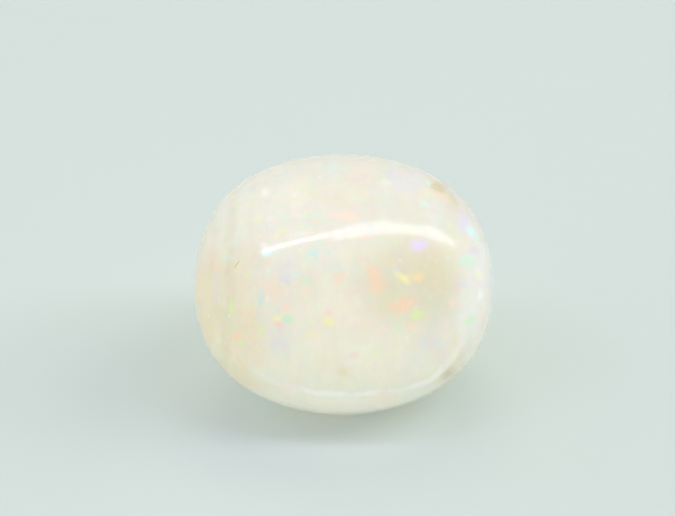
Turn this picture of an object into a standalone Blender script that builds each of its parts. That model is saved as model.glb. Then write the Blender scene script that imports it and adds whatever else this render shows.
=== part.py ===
"""A loose polished opal: one rounded, hand-ground stone that stands on a small flat base.

The stone is a squarish oval pebble. Its length lies along X, its depth along Y, and +Z points up.
The broad front face looks towards -Y and leans back. The origin is the middle of its box, at the base.
"""

import math

import bmesh
import bpy
from mathutils import Vector

MM = 0.001

# Driving dimensions, in millimetres and degrees, measured from the middle of the round blank.
BLANK_SEMI_AXES = Vector((6.48, 5.41, 5.23))
BLEND = 8.0
BASE_PLANE = -4.62

# Each soft face ground on the blank: compass heading from +X, tilt above level, distance.
GROUND_FACES = {
    "crown": (0.0, 90.0, 5.54),
    "underside": (0.0, -90.0, 6.20),
    "front": (-62.0, 32.0, 4.82),
    "back": (90.0, 8.0, 5.80),
    "left_end": (163.0, -9.0, 5.86),
    "right_end": (0.0, 4.0, 6.73),
}

# Facets round the stone and from pole to pole.
ROUND_STEPS = 72
HEIGHT_STEPS = 36

COLLECTION = "polished_opal"
STONE = "opal_stone"
MILKY_WHITE = (0.83, 0.79, 0.66, 1.0)
POLISH_ROUGHNESS = 0.08


def clear_scene():
    for obj in list(bpy.data.objects):
        bpy.data.objects.remove(obj, do_unlink=True)


def object_collection():
    made = bpy.data.collections.new(COLLECTION)
    bpy.context.scene.collection.children.link(made)
    return made


def opal_material():
    material = bpy.data.materials.new("milky_opal")
    material.use_nodes = True
    shader = material.node_tree.nodes["Principled BSDF"]
    shader.inputs["Base Color"].default_value = MILKY_WHITE
    shader.inputs["Roughness"].default_value = POLISH_ROUGHNESS
    shader.inputs["Metallic"].default_value = 0.0
    return material


def facing(heading, tilt):
    """Unit vector that points along a compass heading, raised by a tilt."""
    level = math.cos(math.radians(tilt))
    return Vector((
        level * math.cos(math.radians(heading)),
        level * math.sin(math.radians(heading)),
        math.sin(math.radians(tilt)),
    ))


def reach(direction):
    """Distance in millimetres from the blank's middle to the surface, along a unit direction.

    The oval blank and each ground face would alone stop a ray at a distance of its own. The
    inverse distances are joined by a power sum, which leaves each face soft and its edge round.
    """
    scaled = Vector(side / axis for side, axis in zip(direction, BLANK_SEMI_AXES))
    total = scaled.length ** BLEND
    for heading, tilt, distance in GROUND_FACES.values():
        total += max(direction.dot(facing(heading, tilt)) / distance, 0.0) ** BLEND
    return total ** (-1.0 / BLEND)


def grind_flat_base(mesh):
    """Cuts the underside off level and closes the cut with one flat face."""
    everything = mesh.verts[:] + mesh.edges[:] + mesh.faces[:]
    cut = bmesh.ops.bisect_plane(
        mesh,
        geom=everything,
        plane_co=(0.0, 0.0, BASE_PLANE * MM),
        plane_no=(0.0, 0.0, -1.0),
        clear_outer=True,
    )
    rim = [part for part in cut["geom_cut"] if isinstance(part, bmesh.types.BMEdge)]
    bmesh.ops.contextual_create(mesh, geom=rim)


def stand_on_origin(mesh):
    """Moves the stone so that the origin is the middle of its box, at the base."""
    places = [vert.co for vert in mesh.verts]
    middle_x = (min(p.x for p in places) + max(p.x for p in places)) / 2
    middle_y = (min(p.y for p in places) + max(p.y for p in places)) / 2
    shift = Vector((-middle_x, -middle_y, -BASE_PLANE * MM))
    bmesh.ops.translate(mesh, vec=shift, verts=mesh.verts)


def opal_stone(collection):
    mesh = bmesh.new()
    bmesh.ops.create_uvsphere(mesh, u_segments=ROUND_STEPS, v_segments=HEIGHT_STEPS, radius=1.0)
    for vert in mesh.verts:
        direction = vert.co.normalized()
        vert.co = direction * reach(direction) * MM
    grind_flat_base(mesh)
    stand_on_origin(mesh)
    bmesh.ops.recalc_face_normals(mesh, faces=mesh.faces)
    data = bpy.data.meshes.new(STONE)
    mesh.to_mesh(data)
    mesh.free()
    data.shade_smooth()
    data.set_sharp_from_angle(angle=math.radians(20))
    data.materials.append(opal_material())
    stone = bpy.data.objects.new(STONE, data)
    collection.objects.link(stone)
    return stone


def main():
    clear_scene()
    opal_stone(object_collection())


main()
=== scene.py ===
"""Finish, floor and lamps for a loose polished opal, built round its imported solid."""

import math

import bpy
import numpy as np
from bpy.props import FloatProperty, FloatVectorProperty, IntProperty, PointerProperty
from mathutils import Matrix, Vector


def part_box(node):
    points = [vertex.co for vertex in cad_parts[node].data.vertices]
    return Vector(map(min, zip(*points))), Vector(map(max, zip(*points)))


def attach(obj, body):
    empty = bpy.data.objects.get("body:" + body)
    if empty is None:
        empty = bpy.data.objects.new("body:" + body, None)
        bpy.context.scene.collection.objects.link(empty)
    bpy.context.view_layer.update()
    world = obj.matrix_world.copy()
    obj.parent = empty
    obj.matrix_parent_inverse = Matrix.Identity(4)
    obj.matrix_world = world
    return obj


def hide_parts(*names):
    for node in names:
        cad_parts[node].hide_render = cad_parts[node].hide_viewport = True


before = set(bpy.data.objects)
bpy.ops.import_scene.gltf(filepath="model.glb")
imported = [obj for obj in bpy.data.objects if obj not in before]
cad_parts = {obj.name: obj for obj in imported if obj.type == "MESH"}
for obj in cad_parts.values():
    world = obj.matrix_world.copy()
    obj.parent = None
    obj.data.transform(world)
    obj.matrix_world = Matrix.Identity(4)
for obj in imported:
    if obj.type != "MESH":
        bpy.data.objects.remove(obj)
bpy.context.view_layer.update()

bl_info = {
    "name": "Polished Opal Stone",
    "version": (1, 0, 0),
    "blender": (4, 5, 0),
    "location": "3D View > Sidebar > Opal",
    "description": "A loose polished opal with its pinpoint colour, on a pale lit floor",
    "category": "Add Mesh",
}

MM = 0.001
STONE_NODE = "opal_stone"
STONE_LOW, STONE_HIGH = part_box(STONE_NODE)

# The ground form, in millimetres and degrees, measured from the middle of the round blank.
BLANK_SEMI_AXES = np.array((6.48, 5.41, 5.23))
BLEND = 8.0
BASE_PLANE = -4.62
BASE_RIM = 0.012
GROUND_FACES = {
    "crown": (0.0, 90.0, 5.54),
    "underside": (0.0, -90.0, 6.20),
    "front": (-62.0, 32.0, 4.82),
    "back": (90.0, 8.0, 5.80),
    "left_end": (163.0, -9.0, 5.86),
    "right_end": (0.0, 4.0, 6.73),
}
# Slow waves left by hand polishing: the skew direction each runs along, and its start.
POLISH_WAVES = (
    ((9.0, 5.0, -7.0), 0.4),
    ((-6.0, 11.0, 8.0), 2.1),
    ((12.0, -4.0, 10.0), 4.4),
)

# The picture: how high the camera looks from, and where the point over the middle of the base, level
# with the blank's middle, falls in it.
PICTURE_WIDTH = 675
PICTURE_HEIGHT = 516
PIXELS_PER_MM = 24.9
VIEW_TILT = 35.0
MIDDLE_IN_PICTURE = (343.9, 284.7)
# The camera's sensor and lens in mm, and how near and how far it sees in metres.
SENSOR_WIDTH = 36.0
LENS_LENGTH = 400.0
CLIP_RANGE = (0.01, 5.0)

# The table's width in metres.
TABLE_WIDTH = 2.0
TABLE_ROUGHNESS = 0.8

# Long lamps overhead, at one height in metres above the stone's middle. Each has its ends, then its
# edges, as slopes from the stone: across over height, and back over height. Then comes its share of
# the strip brightness.
STRIP_HEIGHT = 0.600
STRIPS = (
    ("strip_thin", (-0.80, 0.24), (-0.220, -0.125), 1.10),
    ("strip_left", (0.24, 0.68), (-0.330, -0.020), 0.70),
    ("strip_middle", (0.68, 1.08), (-0.360, -0.115), 0.74),
    ("strip_right", (1.08, 1.85), (-0.370, 0.000), 0.70),
    ("strip_tail", (1.85, 2.50), (-0.200, 0.080), 0.78),
    ("strip_end", (-0.92, -0.80), (-0.280, 0.040), 0.65),
    ("strip_streak", (-0.28, -0.10), (-0.050, -0.010), 0.90),
)
# Wide soft suns that no reflection shows: a direction to come from, a width in degrees, a share of
# the sun strength, and whether the sun casts a shadow. Those without one stand for light that comes
# through the milky stone onto the floor, and for light that the floor sends back up.
SUNS = (
    ("sun_back", (0.0, 0.6, 1.0), 40.0, 0.56, True),
    ("sun_right", (1.2, 0.3, 1.0), 40.0, 0.60, True),
    ("fill_top", (0.3, -0.5, 1.0), 57.0, 0.58, False),
    ("fill_front", (0.0, -1.5, 1.0), 57.0, 0.34, False),
    ("fill_below", (-0.15, -0.50, -0.87), 57.0, 0.62, False),
)
# Where the air is brighter: heading and tilt in degrees, and how tightly the light gathers there.
AIR_LEFT = (180.0, 0.0, 2.0)
AIR_BEHIND = (110.0, 25.0, 6.0)
# How fast the light near the horizon fades upward.
AIR_FADE = 2.0


def linear(red, green, blue):
    """Scene colour for the 0 to 255 screen values, by the screen's two-part power curve."""
    screen = np.array((red, green, blue)) / 255.0
    low = screen / 12.92
    high = ((screen + 0.055) / 1.055) ** 2.4
    return tuple(float(v) for v in np.where(screen <= 0.04045, low, high)) + (1.0,)


def facing(heading, tilt):
    """Unit vector along a compass heading, raised by a tilt, both in degrees."""
    heading, tilt = math.radians(heading), math.radians(tilt)
    return np.array((
        math.cos(tilt) * math.cos(heading),
        math.cos(tilt) * math.sin(heading),
        math.sin(tilt),
    ))


VIEW_ACROSS = np.array((1.0, 0.0, 0.0))
VIEW_UP = facing(90.0, 90.0 - VIEW_TILT)
VIEW_OUT = facing(-90.0, VIEW_TILT)

# Names for the colours that the opal shows, each light enough to sit in milky stone.
TINTS = {
    "milk": linear(234, 230, 214),
    "cream": linear(240, 234, 215),
    "bone": linear(240, 235, 219),
    "pearl": linear(228, 226, 211),
    "honey": linear(226, 221, 196),
    "straw": linear(235, 223, 193),
    "clay": linear(214, 202, 178),
    "ash": linear(220, 218, 210),
    "haze": linear(224, 222, 222),
    "frost": linear(236, 235, 228),
    "orange": linear(249, 217, 187),
    "apricot": linear(249, 226, 182),
    "peach": linear(246, 225, 207),
    "pink": linear(246, 218, 208),
    "yellow": linear(245, 239, 182),
    "lime": linear(224, 240, 176),
    "green": linear(210, 240, 203),
    "mint": linear(215, 240, 222),
    "teal": linear(214, 232, 223),
    "cyan": linear(219, 244, 240),
    "violet": linear(236, 222, 250),
    "lavender": linear(223, 218, 229),
    "iris": linear(226, 219, 238),
    "white": linear(248, 248, 240),
    "tan": linear(212, 195, 160),
    "umber": linear(190, 180, 152),
    "ochre": linear(212, 202, 166),
}

# Broad zones of body colour on the side that faces front: tint, middle across and up, reach
# across and up, all in mm square to the front view, and how far the tint takes over.
ZONES = (
    ("cream", 0.3, -2.4, 4.2, 2.2, 1.0),
    ("pearl", 1.9, 3.3, 3.6, 1.5, 0.9),
    ("ash", 0.6, 4.9, 3.6, 1.0, 0.3),
    ("ash", 4.9, 3.0, 1.4, 1.5, 0.6),
    ("haze", 2.6, 4.2, 1.0, 0.6, 0.6),
    ("frost", 5.4, 0.0, 1.0, 2.6, 0.8),
    ("honey", 2.60, 0.0, 2.1, 1.9, 0.7),
    ("honey", 3.7, 0.0, 0.9, 1.5, 0.7),
    ("honey", -4.5, -1.0, 0.6, 2.6, 0.7),
    ("straw", -4.3, -0.9, 1.0, 2.2, 0.5),
    ("clay", 4.3, 3.4, 0.6, 0.5, 0.3),
    ("straw", -4.0, -2.4, 1.2, 1.5, 0.6),
    ("straw", -3.6, 0.8, 1.0, 0.9, 0.3),
    ("ash", 3.8, -1.9, 0.9, 1.2, 0.35),
)
# The same for the stone outside its worn shoulder.
WALL_ZONES = (
    ("straw", -5.4, -1.4, 1.7, 3.0, 1.0),
    ("straw", -4.0, -3.6, 1.2, 1.2, 0.8),
    # The bone zone is painted light: it lightens the lower wall, standing in for light that comes up
    # through the milky stone.
    ("bone", 0.0, -4.9, 3.4, 1.0, 0.9),
    ("clay", 4.3, -3.5, 0.8, 0.6, 0.3),
    ("frost", 5.6, 0.0, 0.9, 2.4, 0.8),
    ("ash", 5.0, 3.0, 1.2, 1.4, 0.7),
)

# Patches of fire, a few stains and one painted highlight on that side: tint, middle across and up,
# half width and half height, turn in degrees, strength.
PATCHES = (
    ("violet", 3.05, 1.54, 0.36, 0.22, 0, 0.9),
    ("orange", 1.34, 0.13, 0.33, 0.48, 20, 0.85),
    ("orange", 2.34, -0.86, 0.46, 0.32, 0, 0.85),
    ("lime", 2.94, -1.18, 0.25, 0.23, -30, 0.9),
    ("yellow", 2.42, 0.22, 0.32, 0.15, -30, 1.0),
    ("apricot", 2.98, 0.25, 0.28, 0.20, 8, 0.9),
    ("peach", 4.39, -0.79, 0.17, 0.17, 0, 0.9),
    ("mint", 5.00, 0.92, 0.38, 0.27, 0, 0.95),
    ("cyan", 5.12, 2.10, 0.40, 0.22, -48, 1.0),
    ("iris", 4.84, 2.44, 0.24, 0.38, 10, 0.9),
    ("lavender", 5.28, 1.30, 0.26, 0.16, 0, 0.7),
    ("violet", 5.24, -0.02, 0.26, 0.16, 0, 0.4),
    ("white", 5.52, -0.43, 0.16, 0.28, 0, 0.7),
    ("green", 5.08, -1.47, 0.26, 0.16, 15, 0.9),
    ("yellow", 5.48, 0.37, 0.18, 0.15, 0, 0.45),
    ("orange", -2.71, -0.18, 0.42, 0.46, 0, 0.42),
    ("pink", -2.51, -1.64, 0.24, 0.17, 0, 1.0),
    ("yellow", -2.58, -1.38, 0.20, 0.11, 0, 0.9),
    ("green", -2.18, -1.42, 0.19, 0.19, 0, 1.0),
    ("peach", -2.21, -0.92, 0.22, 0.20, 0, 0.9),
    ("teal", -3.22, -0.63, 0.11, 0.36, 0, 0.9),
    ("lime", -3.20, -1.84, 0.20, 0.15, 0, 0.7),
    ("yellow", -0.52, -1.50, 0.24, 0.21, -10, 1.0),
    ("peach", -0.56, -1.17, 0.22, 0.14, 0, 0.9),
    ("yellow", -1.31, -2.02, 0.24, 0.08, 5, 0.6),
    ("lavender", -2.51, -2.32, 0.50, 0.60, 0, 0.4),
    ("orange", -4.14, -2.08, 0.18, 0.21, 0, 1.0),
    ("lime", -4.02, -2.44, 0.12, 0.16, 20, 0.6),
    ("yellow", -1.51, 2.74, 0.08, 0.20, 0, 0.5),
    ("orange", -1.07, 2.46, 0.16, 0.09, -10, 0.5),
    ("peach", -4.12, -2.62, 0.15, 0.20, 0, 0.5),
    ("lime", -4.42, -0.93, 0.10, 0.36, 0, 0.7),
    ("teal", -1.15, 1.22, 0.24, 0.20, 0, 0.8),
    ("teal", -0.62, 1.30, 0.16, 0.14, 0, 0.6),
    ("teal", -0.16, 0.66, 0.32, 0.24, 0, 0.35),
    ("lavender", -2.27, 0.17, 0.32, 0.20, 0, 0.6),
    ("green", -1.47, 0.18, 0.18, 0.16, 0, 0.5),
    ("peach", -1.45, -0.28, 0.18, 0.13, 0, 0.9),
    ("pink", 0.85, 4.50, 0.60, 0.42, 0, 0.35),
    ("lavender", 2.35, 4.15, 0.62, 0.36, -20, 0.4),
    ("teal", -0.43, 4.59, 0.34, 0.30, 0, 0.45),
    ("peach", 0.24, 2.70, 0.44, 0.26, -15, 0.75),
    ("peach", -0.48, 2.72, 0.30, 0.22, 0, 0.5),
    ("peach", -3.84, 3.14, 0.18, 0.16, 0, 0.6),
    ("yellow", -3.44, 2.58, 0.20, 0.15, 0, 0.4),
    ("white", -3.08, 3.63, 0.15, 0.20, 0, 0.5),
    ("green", -2.20, 2.58, 0.20, 0.22, 0, 0.35),
    ("lime", -2.30, 2.10, 0.22, 0.10, 15, 0.45),
    ("green", -1.47, 2.70, 0.22, 0.13, 0, 0.35),
    ("peach", 0.90, 1.80, 0.34, 0.10, 0, 0.8),
    ("cyan", 3.27, 3.18, 0.26, 0.15, -30, 0.5),
    ("white", 1.74, 4.03, 0.22, 0.14, 0, 0.3),
    ("lavender", -5.02, -0.10, 0.20, 0.55, 0, 0.35),
    ("green", 2.18, -1.80, 0.22, 0.12, 0, 0.4),
    ("peach", 2.75, -1.70, 0.20, 0.14, 0, 0.8),
    ("lavender", 3.35, -2.35, 0.50, 0.42, 0, 0.2),
    ("pink", 0.46, -2.84, 0.22, 0.16, 0, 0.5),
    ("tan", 3.86, 3.86, 0.36, 0.38, 0, 0.9),
    ("tan", 4.34, 3.46, 0.30, 0.20, -45, 0.4),
    ("orange", 4.00, 3.50, 0.36, 0.18, -5, 0.5),
    ("straw", 3.62, 3.62, 0.28, 0.18, 0, 0.6),
    ("pink", 4.08, 3.34, 0.24, 0.14, 0, 0.4),
    ("mint", 3.47, 4.03, 0.10, 0.12, 0, 0.6),
    ("white", -3.02, 1.30, 0.26, 0.13, 12, 1.0),
    ("cyan", -2.95, 1.20, 0.26, 0.14, 10, 0.8),
    ("umber", 4.26, -3.58, 0.30, 0.22, 30, 0.48),
    ("clay", 4.76, -2.90, 0.24, 0.40, -25, 0.25),
    ("pink", 4.80, -2.96, 0.15, 0.20, 0, 0.5),
    # This small yellow patch is a painted highlight: a glint where the shoulder line ends low on the
    # right.
    ("yellow", 4.51, -2.92, 0.09, 0.22, -35, 0.5),
    ("straw", 0.06, -3.48, 0.22, 0.19, 0, 0.9),
    ("peach", 1.75, -4.45, 0.60, 0.22, 8, 0.5),
)

# Where pinpoint fire gathers or thins out on that side: middle across and up, reach, change.
FIRE_CLOUDS = (
    (-2.4, 0.8, 1.5, 0.40),
    (-2.4, 2.6, 1.3, 0.35),
    (-2.6, -1.4, 0.9, 0.40),
    (5.3, 0.6, 1.2, 0.45),
    (2.6, -0.3, 1.2, 0.20),
    (3.6, 3.6, 0.9, 0.25),
    (0.2, -3.2, 1.8, -0.35),
    (0.6, 0.0, 0.8, -0.20),
    (-5.4, 0.0, 1.2, -0.15),
)
EVEN_FIRE = 0.30
BACK_FIRE = 0.35
# The tints that the fire picks from by equal chances.
FIRE_TINTS = (
    "orange", "peach", "green", "yellow", "lavender", "mint", "pink", "lime", "white", "cyan",
    "peach", "teal",
)
# Pinpoint fire in three grains: cell size in mm, part of the share that lights up, strength.
FIRE_GRAINS = ((0.62, 0.45, 0.45), (0.36, 0.60, 0.45), (0.20, 0.80, 0.35))
# Broader flashes round the back, where no patch is listed: cell size in mm, strength.
BACK_GRAINS = ((1.0, 0.95), (0.6, 0.90))
# The fine grain inside a patch: cell size in mm, share of lit cells, strength.
PATCH_GRAIN = (0.16, 0.55, 0.35)
# How deep a patch reaches behind the surface, at least and at most, in mm.
PATCH_DEPTHS = (0.45, 1.3)
# How sharply the nearest patch's tint wins over its neighbours', and the least sum of their weights.
PATCH_MIX = 3.0
LEAST_WEIGHT = 1e-9
# How far behind the outline, in mm, the finish of the back has taken over.
BACK_REACH = 2.5

# Growth layers cut by the left end, square to this heading and tilt, this far out in mm.
LAYER_FACING = facing(180.0, 3.0)
LAYER_DISTANCE = 4.60
# Each layer's line: how far out from there and how wide in mm, its tint and its strength.
LAYER_LINES = (
    (0.00, 0.30, "ochre", 0.22),
    (-0.30, 0.16, "bone", 0.10),
    (0.40, 0.24, "bone", 0.12),
    (0.72, 0.20, "ochre", 0.12),
)
# The worn shoulder round the front face, a squarish oval in the front view: middle, half sizes, power.
SHOULDER_MIDDLE = (0.26, 0.40)
SHOULDER_HALF = (4.94, 4.77)
SHOULDER_POWER = 2.8
# Behind the outline the gap outside the shoulder is at least this in mm, and grows so much per mm.
BACK_GAP = 0.3
BACK_GAP_GROWTH = 0.6
# A painted highlight: a pale line low along the shoulder, where its rounded edge catches the light.
# Width in mm and strength. In mm of the front view, it comes in from its top downward, and thins
# out to its least share at its left end.
SHOULDER_HIGHLIGHT = (0.17, 0.60)
HIGHLIGHT_TOP = -2.0
HIGHLIGHT_FADE_DOWN = 1.4
HIGHLIGHT_LEFT = -3.6
HIGHLIGHT_FADE_LEFT = 2.2
HIGHLIGHT_LEAST = 0.3
# One dark hairline scratch on the front. Its middle is in mm of the front view and its run in degrees.
# From the middle it is full to the first length and width in mm, and gone at the second.
HAIRLINE = {
    "across": -4.18,
    "up": 0.77,
    "turn": 55.0,
    "lengths": (0.12, 0.20),
    "widths": (0.010, 0.035),
    "strength": 0.55,
}

# Warm and cool clouds, then pale and dull streaks: each multiplies the body by its colour.
WARM_CLOUD = (1.00, 0.97, 0.90, 1.0)
COOL_CLOUD = (0.94, 0.97, 1.00, 1.0)
PALE_STREAK = (1.03, 1.03, 1.05, 1.0)
DULL_STREAK = (0.95, 0.95, 0.93, 1.0)
STREAK_STRENGTH = 0.4
# Where the clouds' noise starts, in mm, and how the streaks' noise is drawn out, per mm.
CLOUD_START = (7.3, 1.9, 4.1)
STREAK_STRETCH = (2.2, 0.45, 0.45)
# Drifts of hue through the whole body: noise scale per mm, and how far each channel swings.
HUE_DRIFTS = ((0.8, 0.14), (2.4, 0.09))
# How much rougher the polish gets in its dullest mottles.
DULLER_POLISH = 0.05


def cube_lattice(steps):
    """Directions and quads over a whole sphere.

    Two counts run over each face of a cube. Each is spread by the tangent of equal angles, and the
    cube's surface is then drawn out onto the unit sphere. Points that faces share are one point.
    """
    run = np.arange(steps + 1)
    across, up = np.meshgrid(run, run, indexing="ij")
    index = np.arange(across.size).reshape(across.shape)
    ring = np.stack([index[:-1, :-1], index[1:, :-1], index[1:, 1:], index[:-1, 1:]], -1)
    ring = ring.reshape(-1, 4)
    points, quads = [], []
    for axis in range(3):
        for end in (0, steps):
            face = np.empty(across.shape + (3,), int)
            face[..., axis] = end
            face[..., (axis + 1) % 3] = across
            face[..., (axis + 2) % 3] = up
            outward = ring if end else ring[:, ::-1]
            quads.append(outward + len(points) * across.size)
            points.append(face.reshape(-1, 3))
    lattice, merged = np.unique(np.concatenate(points), axis=0, return_inverse=True)
    spread = np.tan(np.pi / 4 * (2 * lattice / steps - 1))
    directions = spread / np.linalg.norm(spread, axis=1, keepdims=True)
    return directions, merged.reshape(-1)[np.concatenate(quads)]


def reach(directions):
    """Distance in mm from the blank's middle to the surface along each unit direction.

    The oval blank and each ground face would alone stop a ray at a distance of its own. The inverse
    distances are joined by a power sum, which leaves each face soft and its edge round.
    """
    total = np.linalg.norm(directions / BLANK_SEMI_AXES, axis=1) ** BLEND
    for heading, tilt, distance in GROUND_FACES.values():
        total += np.maximum(directions @ facing(heading, tilt) / distance, 0.0) ** BLEND
    return total ** (-1.0 / BLEND)


def polish_waves(directions, depth):
    """Slow hand-polish ripples in mm: the mean of sine waves along skew directions."""
    waves = sum(np.sin(directions @ along + start) for along, start in POLISH_WAVES)
    return depth * waves / len(POLISH_WAVES)


def stone_points(directions, ripple):
    """Surface points in mm from the blank's middle.

    Each lies its reach out along its direction, plus the polish ripples. Heights are then bent by a
    smooth ramp so that none lies under the base plane, which leaves a flat foot with a worn rim.
    """
    points = directions * (reach(directions) + polish_waves(directions, ripple))[:, None]
    above = (points[:, 2] - BASE_PLANE) / BASE_RIM
    points[:, 2] = BASE_PLANE + BASE_RIM * np.logaddexp(0.0, above)
    return points


def behind(view, aside, above):
    """How far out, in mm, each point lies from the surface that the front view shows at a place."""
    across, up, out = view
    away = np.hypot(across - aside, up - above)
    return out - out[np.argmin(np.where(out > 0, away, np.inf))]


def zone_colours(view, zones):
    """Milk tinted by each zone in turn.

    A zone fades as the inverse exponential of its reach to the fourth power, where the reach counts
    half sizes from its middle, and its depth is twice its longer half size.
    """
    across, up, out = view
    colours = np.tile(np.array(TINTS["milk"]), (len(out), 1))
    for tint, aside, above, wide, high, strength in zones:
        depth = behind(view, aside, above) / (2.0 * max(wide, high))
        squared = ((across - aside) / wide) ** 2 + ((up - above) / high) ** 2 + depth**2
        fade = strength * np.exp(-(squared**2))
        colours += fade[:, None] * (np.array(TINTS[tint]) - colours)
    return colours


def fire_share(view, back):
    """Share of pinpoint cells that light up: an even share, more round the back, and each cloud's."""
    across, up, out = view
    share = EVEN_FIRE + BACK_FIRE * back
    for aside, above, size, change in FIRE_CLOUDS:
        squared = (across - aside) ** 2 + (up - above) ** 2 + behind(view, aside, above) ** 2
        share += change * np.exp(-squared / size**2)
    return share


def patch_marks(view):
    """The nearest patch's reach at each point, and the mixed tint of the patches round it.

    A patch's reach counts half sizes from its middle, along and over its turned run, and it is about
    three times as deep as it is narrow. Tints mix by the inverse exponential of the squared reach.
    """
    across, up, out = view
    nearest = np.full(len(out), np.inf)
    tints = np.zeros((len(out), 4))
    weights = LEAST_WEIGHT
    for tint, aside, above, wide, high, turn, strength in PATCHES:
        cosine, sine = math.cos(math.radians(turn)), math.sin(math.radians(turn))
        along = ((across - aside) * cosine + (up - above) * sine) / wide
        over = ((up - above) * cosine - (across - aside) * sine) / high
        patch_depth = np.clip(3.0 * min(wide, high), *PATCH_DEPTHS)
        depth = behind(view, aside, above) / patch_depth
        distance = np.sqrt(along**2 + over**2 + depth**2)
        nearest = np.minimum(nearest, distance)
        near = np.exp(-PATCH_MIX * distance**2)[:, None]
        tints += near * (TINTS[tint][:3] + (strength,))
        weights += near
    return nearest, tints / weights


def shoulder_marks(view):
    """Distance in mm outside the squarish oval, which grows round the back, and the painted highlight's
    strength.
    """
    across, up, out = view
    oval = np.abs((across - SHOULDER_MIDDLE[0]) / SHOULDER_HALF[0]) ** SHOULDER_POWER
    oval += np.abs((up - SHOULDER_MIDDLE[1]) / SHOULDER_HALF[1]) ** SHOULDER_POWER
    gap = (oval ** (1 / SHOULDER_POWER) - 1) * np.mean(SHOULDER_HALF)
    gap = np.where(out > 0, gap, np.maximum(gap, BACK_GAP) - BACK_GAP_GROWTH * out)
    line = np.clip((HIGHLIGHT_TOP - up) / HIGHLIGHT_FADE_DOWN, 0.0, 1.0)
    line *= np.clip((across - HIGHLIGHT_LEFT) / HIGHLIGHT_FADE_LEFT, HIGHLIGHT_LEAST, 1.0)
    return gap, line


def front_marks(points):
    """Values that the opal's material reads at each surface point in mm.

    Points are read in the front view: across, up and out of it. The back side rises from 0 at the
    outline to 1 a few millimetres behind it.
    """
    view = points @ VIEW_ACROSS, points @ VIEW_UP, points @ VIEW_OUT
    back = np.clip(-view[2] / BACK_REACH, 0.0, 1.0)
    patch_reach, patch_tint = patch_marks(view)
    shoulder_gap, shoulder_highlight = shoulder_marks(view)
    return {
        "face_colour": zone_colours(view, ZONES),
        "wall_colour": zone_colours(view, WALL_ZONES),
        "fire_share": fire_share(view, back),
        "patch_reach": patch_reach,
        "patch_tint": patch_tint,
        "shoulder_gap": shoulder_gap,
        "shoulder_highlight": shoulder_highlight,
        "back_side": back,
    }


def keep_attributes(mesh, values):
    """Stores each column of values or colours on the mesh's points under its name."""
    for name, column in values.items():
        kind, field = ("FLOAT", "value") if column.ndim == 1 else ("FLOAT_COLOR", "color")
        mesh.attributes.new(name, kind, "POINT").data.foreach_set(field, column.ravel())


def grid_mesh(name, points, quads):
    """A smooth mesh from points and quads."""
    mesh = bpy.data.meshes.new(name)
    mesh.from_pydata(points.tolist(), [], quads.tolist())
    mesh.validate()
    mesh.shade_smooth()
    return mesh


class NodeBench:
    """Adds and joins shader nodes in one tree."""

    def __init__(self, tree):
        self.tree = tree

    def add(self, kind, inputs=None, **settings):
        """A node with its settings, each input joined to a socket or set to a value."""
        made = self.tree.nodes.new(kind)
        for name, value in settings.items():
            setattr(made, name, value)
        for socket, value in (inputs or {}).items():
            if isinstance(value, bpy.types.NodeSocket):
                self.tree.links.new(value, made.inputs[socket])
            else:
                made.inputs[socket].default_value = value
        return made

    def math(self, operation, *values):
        """One Math node's result."""
        return self.add("ShaderNodeMath", dict(enumerate(values)), operation=operation).outputs[0]

    def vector(self, operation, *values):
        """One Vector Math node's outputs."""
        return self.add("ShaderNodeVectorMath", dict(enumerate(values)), operation=operation).outputs

    def blend(self, factor, first, second, mode="MIX"):
        """The second colour over the first by a factor."""
        sockets = {0: factor, 6: first, 7: second}
        return self.add("ShaderNodeMix", sockets, data_type="RGBA", blend_type=mode).outputs[2]

    def ease(self, value, start, end, low=0.0, high=1.0):
        """A smooth step from low to high while the value runs from start to end."""
        sockets = {"Value": value, "From Min": start, "From Max": end, "To Min": low, "To Max": high}
        return self.add("ShaderNodeMapRange", sockets, interpolation_type="SMOOTHSTEP").outputs[0]

    def noise(self, place, scale, detail=2.0):
        """Soft noise at a scale per mm."""
        sockets = {"Vector": place, "Scale": scale, "Detail": detail}
        return self.add("ShaderNodeTexNoise", sockets).outputs[0]

    def stops(self, value, colours):
        """One of the colours, each for an equal run of the value."""
        ramp = self.add("ShaderNodeValToRGB", {"Fac": value})
        ramp.color_ramp.interpolation = "CONSTANT"
        elements = ramp.color_ramp.elements
        while len(elements) < len(colours):
            elements.new(0.5)
        for index, colour in enumerate(colours):
            elements[index].position = index / len(colours)
            elements[index].color = colour
        return ramp.outputs["Color"]

    def attribute(self, name, output="Fac"):
        """One of the mesh's own values or colours."""
        return self.add("ShaderNodeAttribute", attribute_name=name).outputs[output]

    def group(self, tree, inputs):
        """A shared node group's outputs."""
        return self.add("ShaderNodeGroup", inputs, node_tree=tree).outputs


def new_group(name, takes, gives):
    """An empty shader node group, its bench, and the sockets that it takes."""
    tree = bpy.data.node_groups.new(name, "ShaderNodeTree")
    for socket, kind in takes.items():
        tree.interface.new_socket(socket, in_out="INPUT", socket_type="NodeSocket" + kind)
    for socket, kind in gives.items():
        tree.interface.new_socket(socket, in_out="OUTPUT", socket_type="NodeSocket" + kind)
    bench = NodeBench(tree)
    return tree, bench, bench.add("NodeGroupInput").outputs


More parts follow.
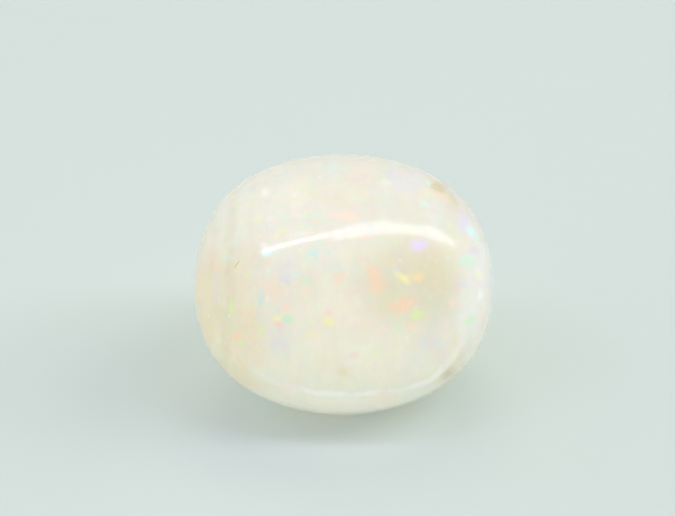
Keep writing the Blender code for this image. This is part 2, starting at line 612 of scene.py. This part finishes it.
def pinpoint_fire_group():
    """Cells of one size, of which a share light up in one spectral colour each."""
    tree, bench, given = new_group(
        "pinpoint_fire", {"Place": "Vector", "Cell size": "Float", "Share": "Float"},
        {"Mask": "Float", "Colour": "Color"})
    scale = bench.math("DIVIDE", 1.0, given["Cell size"])
    wobble = bench.add("ShaderNodeTexNoise", {"Vector": given["Place"], "Scale": 5.0}).outputs["Color"]
    shift = bench.vector("MULTIPLY_ADD", wobble, (0.22, 0.22, 0.22), given["Place"])["Vector"]
    cells = bench.add("ShaderNodeTexVoronoi", {"Vector": shift, "Scale": scale}).outputs
    chance = bench.add("ShaderNodeSeparateColor", {"Color": cells["Color"]}).outputs
    lit = bench.math("LESS_THAN", chance["Red"], given["Share"])
    spot = bench.ease(cells["Distance"], 0.80, 0.05)
    glow = bench.math("MULTIPLY_ADD", chance["Blue"], 0.75, 0.25)
    mask = bench.math("MULTIPLY", bench.math("MULTIPLY", lit, spot), glow)
    colour = bench.stops(chance["Green"], [TINTS[name] for name in FIRE_TINTS])
    bench.add("NodeGroupOutput", {"Mask": mask, "Colour": colour})
    return tree


def layer_and_highlight_line_group():
    """A fine wavering line where a gap in mm crosses zero, broken here and there along its run."""
    tree, bench, given = new_group(
        "layer_and_highlight_line", {"Place": "Vector", "Gap": "Float", "Width": "Float"}, {"Mask": "Float"})
    waver = bench.math("MULTIPLY_ADD", bench.noise(given["Place"], 0.8), 0.30, -0.15)
    off = bench.math("ABSOLUTE", bench.math("ADD", given["Gap"], waver))
    line = bench.ease(bench.math("DIVIDE", off, given["Width"]), 1.0, 0.2)
    broken = bench.ease(bench.noise(given["Place"], 1.1, 3.0), 0.34, 0.56, 0.25, 1.0)
    bench.add("NodeGroupOutput", {"Mask": bench.math("MULTIPLY", line, broken)})
    return tree


def milky_body(bench, place, look):
    """Zones of milk inside and outside the shoulder, with clouds, streaks and drifts of hue."""
    waver = bench.math("MULTIPLY_ADD", bench.noise(place, 0.9), 0.5, -0.25)
    wall = bench.ease(bench.math("ADD", bench.attribute("shoulder_gap"), waver), -0.15, 0.25)
    face_colour = bench.attribute("face_colour", "Color")
    body = bench.blend(wall, face_colour, bench.attribute("wall_colour", "Color"))
    clouds = bench.noise(bench.vector("ADD", place, CLOUD_START)["Vector"], 0.55, 3.0)
    streaks = bench.noise(bench.vector("MULTIPLY", place, STREAK_STRETCH)["Vector"], 1.0, 3.0)
    for amount, tint in (
        (bench.ease(clouds, 0.50, 0.68, 0.0, look.cloud_strength), WARM_CLOUD),
        (bench.ease(clouds, 0.46, 0.30, 0.0, look.cloud_strength), COOL_CLOUD),
        (bench.ease(streaks, 0.50, 0.72, 0.0, STREAK_STRENGTH), PALE_STREAK),
        (bench.ease(streaks, 0.48, 0.28, 0.0, STREAK_STRENGTH), DULL_STREAK),
    ):
        body = bench.blend(amount, body, tint, "MULTIPLY")
    for scale, swing in HUE_DRIFTS:
        hues = bench.add("ShaderNodeTexNoise", {"Vector": place, "Scale": scale, "Detail": 3.0})
        gain = bench.vector("MULTIPLY_ADD", hues.outputs["Color"], (swing,) * 3, (1 - swing / 2,) * 3)
        body = bench.blend(1.0, body, gain["Vector"], "MULTIPLY")
    return body


def layer_lines_and_shoulder_highlight(bench, place, body):
    """The cut growth layers on the left end, and a painted highlight: a pale line low along the
    shoulder.
    """
    line_tree = layer_and_highlight_line_group()
    beyond = bench.vector("DOT_PRODUCT", place, tuple(LAYER_FACING))["Value"]
    for offset, width, tint, strength in LAYER_LINES:
        gap = bench.math("SUBTRACT", beyond, LAYER_DISTANCE + offset)
        line = bench.group(line_tree, {"Place": place, "Gap": gap, "Width": width})["Mask"]
        body = bench.blend(bench.math("MULTIPLY", line, strength), body, TINTS[tint])
    # The shoulder line is painted highlight: white laid over the body where the shoulder edge catches
    # light.
    width, strength = SHOULDER_HIGHLIGHT
    gap = bench.attribute("shoulder_gap")
    line = bench.group(line_tree, {"Place": place, "Gap": gap, "Width": width})["Mask"]
    line = bench.math("MULTIPLY", line, bench.attribute("shoulder_highlight"))
    return bench.blend(bench.math("MULTIPLY", line, strength), body, TINTS["white"])


def scattered_fire(bench, place, body, look, fire_tree):
    """Pinpoint fire in three grains, then broader flashes round the back."""
    gathered = bench.ease(bench.noise(place, 0.9), 0.38, 0.60, 0.2, 1.0)
    share = bench.math("MULTIPLY", bench.attribute("fire_share"), gathered)
    broad = bench.math("MULTIPLY", bench.attribute("back_side"), look.back_flashes)
    grains = [
        (cell, bench.math("MULTIPLY", share, reduced), strength)
        for cell, reduced, strength in FIRE_GRAINS
    ]
    grains += [(cell, broad, strength) for cell, strength in BACK_GRAINS]
    for cell, lit_share, strength in grains:
        fire = bench.group(fire_tree, {"Place": place, "Cell size": cell, "Share": lit_share})
        body = bench.blend(bench.math("MULTIPLY", fire["Mask"], strength), body, fire["Colour"])
    return body


def placed_patches(bench, place, body, fire_tree):
    """The listed patches, with ragged edges and a fine grain of fire inside."""
    ragged = bench.math("MULTIPLY_ADD", bench.noise(place, 3.5, 1.0), 1.4, -0.7)
    patch = bench.ease(bench.math("ADD", bench.attribute("patch_reach"), ragged), 1.7, 0.0)
    cell, lit_share, strength = PATCH_GRAIN
    grain = bench.group(fire_tree, {"Place": place, "Cell size": cell, "Share": lit_share})
    speckle = bench.math("MULTIPLY", grain["Mask"], strength)
    tint = bench.blend(speckle, bench.attribute("patch_tint", "Color"), grain["Colour"])
    lit = bench.math("MULTIPLY", patch, bench.attribute("patch_tint", "Alpha"))
    return bench.blend(lit, body, tint)


def hairline_scratch(bench, place, body):
    """A thin dark line of one short length, on the front only."""
    turn = math.radians(HAIRLINE["turn"])
    run = math.cos(turn) * VIEW_ACROSS + math.sin(turn) * VIEW_UP
    over = math.cos(turn) * VIEW_UP - math.sin(turn) * VIEW_ACROSS
    start = HAIRLINE["across"] * VIEW_ACROSS + HAIRLINE["up"] * VIEW_UP
    from_start = bench.vector("SUBTRACT", place, tuple(start))["Vector"]
    along = bench.math("ABSOLUTE", bench.vector("DOT_PRODUCT", from_start, tuple(run))["Value"])
    aside = bench.math("ABSOLUTE", bench.vector("DOT_PRODUCT", from_start, tuple(over))["Value"])
    out = bench.vector("DOT_PRODUCT", place, tuple(VIEW_OUT))["Value"]
    lengthwise = bench.ease(along, *reversed(HAIRLINE["lengths"]))
    crosswise = bench.ease(aside, *reversed(HAIRLINE["widths"]))
    hair = bench.math("MULTIPLY", lengthwise, crosswise)
    hair = bench.math("MULTIPLY", hair, bench.math("GREATER_THAN", out, 0.0))
    return bench.blend(bench.math("MULTIPLY", hair, HAIRLINE["strength"]), body, TINTS["umber"])


def opal_material(look, middle):
    """Milky body with clouds, layers, scattered fire, placed patches and a scratch, under a polish."""
    material = bpy.data.materials.new("milky_opal")
    material.use_nodes = True
    material.node_tree.nodes.clear()
    bench = NodeBench(material.node_tree)
    metres = bench.add("ShaderNodeTexCoord").outputs["Object"]
    place = bench.vector("MULTIPLY_ADD", metres, (1 / MM,) * 3, tuple(middle))["Vector"]
    fire_tree = pinpoint_fire_group()
    body = milky_body(bench, place, look)
    body = layer_lines_and_shoulder_highlight(bench, place, body)
    body = scattered_fire(bench, place, body, look, fire_tree)
    body = placed_patches(bench, place, body, fire_tree)
    body = hairline_scratch(bench, place, body)
    mottle = bench.noise(place, 1.5, 4.0)
    duller = look.polish_roughness + DULLER_POLISH
    shader = bench.add("ShaderNodeBsdfPrincipled", {
        "Base Color": body,
        "Roughness": bench.ease(mottle, 0.3, 0.7, look.polish_roughness, duller),
        "IOR": 1.45,
        "Specular IOR Level": 0.6,
        "Subsurface Weight": 1.0,
        "Subsurface Radius": (1.0, 0.9, 0.7),
        "Subsurface Scale": look.glow_depth,
    })
    bench.add("ShaderNodeOutputMaterial", {"Surface": shader.outputs["BSDF"]})
    return material


class OpalStoneSettings(bpy.types.PropertyGroup):
    """The stone's grid and finish"""

    lattice_steps: IntProperty(
        name="Lattice steps", description="Grid squares along each side of the cube lattice",
        default=128, min=16, max=128)
    ripple: FloatProperty(
        name="Polish ripple", description="Depth of the slow waves that hand polishing leaves, in mm",
        default=0.004, min=0.0, max=0.05)
    cloud_strength: FloatProperty(
        name="Cloud strength", description="How far warm and cool clouds tint the milk",
        subtype="FACTOR", default=0.5, min=0.0, max=1.0)
    back_flashes: FloatProperty(
        name="Back flashes", description="Share of the broad flashes that are lit round the back",
        subtype="FACTOR", default=0.24, min=0.0, max=1.0)
    polish_roughness: FloatProperty(
        name="Polish roughness", description="Blur of the reflections", subtype="FACTOR",
        default=0.09, min=0.0, max=1.0)
    glow_depth: FloatProperty(
        name="Glow depth", description="How far light spreads inside the stone", unit="LENGTH",
        default=0.005, min=0.0, max=0.01)


class OpalStageSettings(bpy.types.PropertyGroup):
    """The table's colour, the air and the lamps"""

    floor_colour: FloatVectorProperty(
        name="Floor colour", description="Pale green-grey of the table", subtype="COLOR", size=3,
        default=(0.627, 0.696, 0.645), min=0.0, max=1.0)
    far_shade: FloatProperty(
        name="Far shade", description="Light on the floor's colour far behind the stone",
        default=0.896, min=0.0)
    far_lean: FloatProperty(
        name="Far lean", description="How much more of that light there is far to the left",
        default=0.064, min=0.0)
    sun_light: FloatProperty(
        name="Sun light", description="Strength that the soft suns share out", default=0.96, min=0.0)
    wall_light: FloatProperty(
        name="Wall light", description="Brightness of the air near the horizon", default=0.54, min=0.0)
    left_light: FloatProperty(
        name="Left light", description="Brightness added to the left", default=1.04, min=0.0)
    back_light: FloatProperty(
        name="Back light", description="Brightness added behind the stone", default=0.336, min=0.0)
    strip_glow: FloatProperty(
        name="Strip glow", description="Brightness of the long lamps overhead", default=6.1, min=0.0)
    strip_colour: FloatVectorProperty(
        name="Strip colour", description="Cool white of the long lamps overhead", subtype="COLOR",
        size=3, default=(0.80, 0.80, 1.0), min=0.0, max=1.0)
    sun_colour: FloatVectorProperty(
        name="Sun colour", description="Warm white of the suns that cast shadows", subtype="COLOR",
        size=3, default=(1.0, 1.0, 0.72), min=0.0, max=1.0)
    fill_colour: FloatVectorProperty(
        name="Fill colour", description="Cool white of the suns without shadows", subtype="COLOR",
        size=3, default=(0.965, 0.965, 1.0), min=0.0, max=1.0)
    air_colour: FloatVectorProperty(
        name="Air colour", description="Cool white of the light round the horizon", subtype="COLOR",
        size=3, default=(0.86, 0.893, 1.0), min=0.0, max=1.0)


class OPAL_OT_make_stone(bpy.types.Operator):
    """Make the polished stone in place of its plain solid"""

    bl_idname = "opal.make_stone"
    bl_label = "Opal stone"

    def execute(self, context):
        settings = context.scene.opal_stone
        directions, quads = cube_lattice(settings.lattice_steps)
        points = stone_points(directions, settings.ripple)
        middle = (points.min(0) + points.max(0)) / 2
        solid_middle = (np.array(STONE_LOW) + np.array(STONE_HIGH)) / 2 / MM
        shift = solid_middle - middle
        shift[2] = STONE_LOW[2] / MM - BASE_PLANE
        mesh = grid_mesh("polished_stone", (points + shift) * MM, quads)
        keep_attributes(mesh, front_marks(points))
        mesh.materials.append(opal_material(settings, -shift))
        stone = bpy.data.objects.new("polished_stone", mesh)
        context.scene.collection.objects.link(stone)
        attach(stone, "root")
        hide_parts(STONE_NODE)
        return {"FINISHED"}


def floor_material(look):
    """The table's plain matt finish."""
    material = bpy.data.materials.new("pale_table")
    material.use_nodes = True
    shader = material.node_tree.nodes["Principled BSDF"]
    shader.inputs["Base Color"].default_value = look.floor_colour[:] + (1.0,)
    shader.inputs["Roughness"].default_value = TABLE_ROUGHNESS
    return material


def soft_air(look):
    """A world of soft cool light that is brightest low down, to the left and behind.

    The camera and mirror reflections see the floor's shade there instead, a little lighter to the
    left, so a level view has no bright sky behind the stone and the stone has no bright rim.
    """
    world = bpy.data.worlds.new("soft_air")
    world.use_nodes = True
    bench = NodeBench(world.node_tree)
    direction = bench.add("ShaderNodeTexCoord").outputs["Generated"]
    parts = bench.add("ShaderNodeSeparateXYZ", {"Vector": direction}).outputs
    level = bench.math("SUBTRACT", 1.0, bench.math("MULTIPLY", parts["Z"], parts["Z"]))
    total = bench.math("MULTIPLY", bench.math("POWER", level, AIR_FADE), look.wall_light)
    for (heading, tilt, power), light in (
        (AIR_LEFT, look.left_light), (AIR_BEHIND, look.back_light),
    ):
        near = bench.vector("DOT_PRODUCT", direction, tuple(facing(heading, tilt)))["Value"]
        lobe = bench.math("POWER", bench.math("MAXIMUM", near, 0.0), power)
        total = bench.math("MULTIPLY_ADD", lobe, light, total)
    rays = bench.add("ShaderNodeLightPath").outputs
    seen = bench.math("MAXIMUM", rays["Is Camera Ray"], rays["Is Glossy Ray"])
    colour = bench.blend(seen, look.air_colour[:] + (1.0,), look.floor_colour[:] + (1.0,))
    background = world.node_tree.nodes["Background"]
    world.node_tree.links.new(colour, background.inputs["Color"])
    far = bench.math("MULTIPLY_ADD", parts["X"], -look.far_lean, look.far_shade)
    world.node_tree.links.new(bench.blend(seen, total, far), background.inputs["Strength"])
    return world


def rectangle_lamp(scene, name, width, depth, power, colour, place):
    """An area lamp of a size in metres that shines straight down from a place."""
    data = bpy.data.lights.new(name, "AREA")
    data.color = colour
    data.shape = "RECTANGLE"
    data.size, data.size_y = width, depth
    data.energy = power
    lamp = bpy.data.objects.new(name, data)
    lamp.location = place
    lamp.visible_camera = False
    scene.collection.objects.link(lamp)


def soft_sun(scene, name, strength, colour, toward, width, shadow):
    """A sun from one direction, as wide as some degrees of sky, with no reflection of its own."""
    data = bpy.data.lights.new(name, "SUN")
    data.color = colour
    data.energy = strength
    data.angle = math.radians(width)
    data.use_shadow = shadow
    data.cycles.use_multiple_importance_sampling = shadow
    lamp = bpy.data.objects.new(name, data)
    lamp.rotation_euler = Vector(toward).to_track_quat("Z", "Y").to_euler()
    lamp.visible_glossy = False
    scene.collection.objects.link(lamp)


def picture_camera(scene, middle):
    """A long lens at the view's tilt, as far back as fits the picture's width in mm."""
    data = bpy.data.cameras.new("camera")
    data.sensor_width = SENSOR_WIDTH
    data.lens = LENS_LENGTH
    data.clip_start, data.clip_end = CLIP_RANGE
    distance = LENS_LENGTH / SENSOR_WIDTH * PICTURE_WIDTH / PIXELS_PER_MM * MM
    right = (PICTURE_WIDTH / 2 - MIDDLE_IN_PICTURE[0]) / PIXELS_PER_MM * MM
    up = (MIDDLE_IN_PICTURE[1] - PICTURE_HEIGHT / 2) / PIXELS_PER_MM * MM
    target = middle + right * Vector(VIEW_ACROSS) + up * Vector(VIEW_UP)
    camera = bpy.data.objects.new("camera", data)
    camera.location = target + distance * Vector(VIEW_OUT)
    camera.rotation_euler = Vector(VIEW_OUT).to_track_quat("Z", "Y").to_euler()
    scene.collection.objects.link(camera)
    return camera


class OPAL_OT_make_stage(bpy.types.Operator):
    """Make the floor, the lamps and the camera"""

    bl_idname = "opal.make_stage"
    bl_label = "Stage"

    def execute(self, context):
        scene = context.scene
        look = scene.opal_stage
        middle = Vector((0.0, 0.0, -BASE_PLANE * MM))
        bpy.ops.mesh.primitive_plane_add(size=TABLE_WIDTH)
        floor = context.object
        floor.name = "table"
        floor.data.materials.append(floor_material(look))

        for name, slopes, lean, strip_share in STRIPS:
            length = (slopes[1] - slopes[0]) * STRIP_HEIGHT
            depth = (lean[1] - lean[0]) * STRIP_HEIGHT
            aim = Vector((sum(slopes) / 2, sum(lean) / 2, 1.0)) * STRIP_HEIGHT
            power = look.strip_glow * strip_share * math.pi * length * depth
            rectangle_lamp(scene, name, length, depth, power, look.strip_colour, middle + aim)
        for name, toward, width, sun_share, shadow in SUNS:
            colour = look.sun_colour if shadow else look.fill_colour
            soft_sun(scene, name, look.sun_light * sun_share, colour, toward, width, shadow)
        scene.world = soft_air(look)
        scene.camera = picture_camera(scene, middle)
        scene.view_settings.view_transform = "Standard"
        return {"FINISHED"}


class OPAL_PT_panel(bpy.types.Panel):
    """Lists the settings and what the add-on makes"""

    bl_label = "Opal"
    bl_space_type = "VIEW_3D"
    bl_region_type = "UI"
    bl_category = "Opal"

    def draw(self, context):
        for settings, maker in (
            (context.scene.opal_stone, OPAL_OT_make_stone),
            (context.scene.opal_stage, OPAL_OT_make_stage),
        ):
            for name in type(settings).__annotations__:
                self.layout.prop(settings, name)
            self.layout.operator(maker.bl_idname)


CLASSES = (
    OpalStoneSettings, OpalStageSettings, OPAL_OT_make_stone, OPAL_OT_make_stage, OPAL_PT_panel,
)


def register():
    for made in CLASSES:
        bpy.utils.register_class(made)
    bpy.types.Scene.opal_stone = PointerProperty(type=OpalStoneSettings)
    bpy.types.Scene.opal_stage = PointerProperty(type=OpalStageSettings)


def unregister():
    del bpy.types.Scene.opal_stage
    del bpy.types.Scene.opal_stone
    for made in reversed(CLASSES):
        bpy.utils.unregister_class(made)


def main():
    register()
    bpy.ops.opal.make_stone()
    bpy.ops.opal.make_stage()


if __name__ == "__main__":
    main()
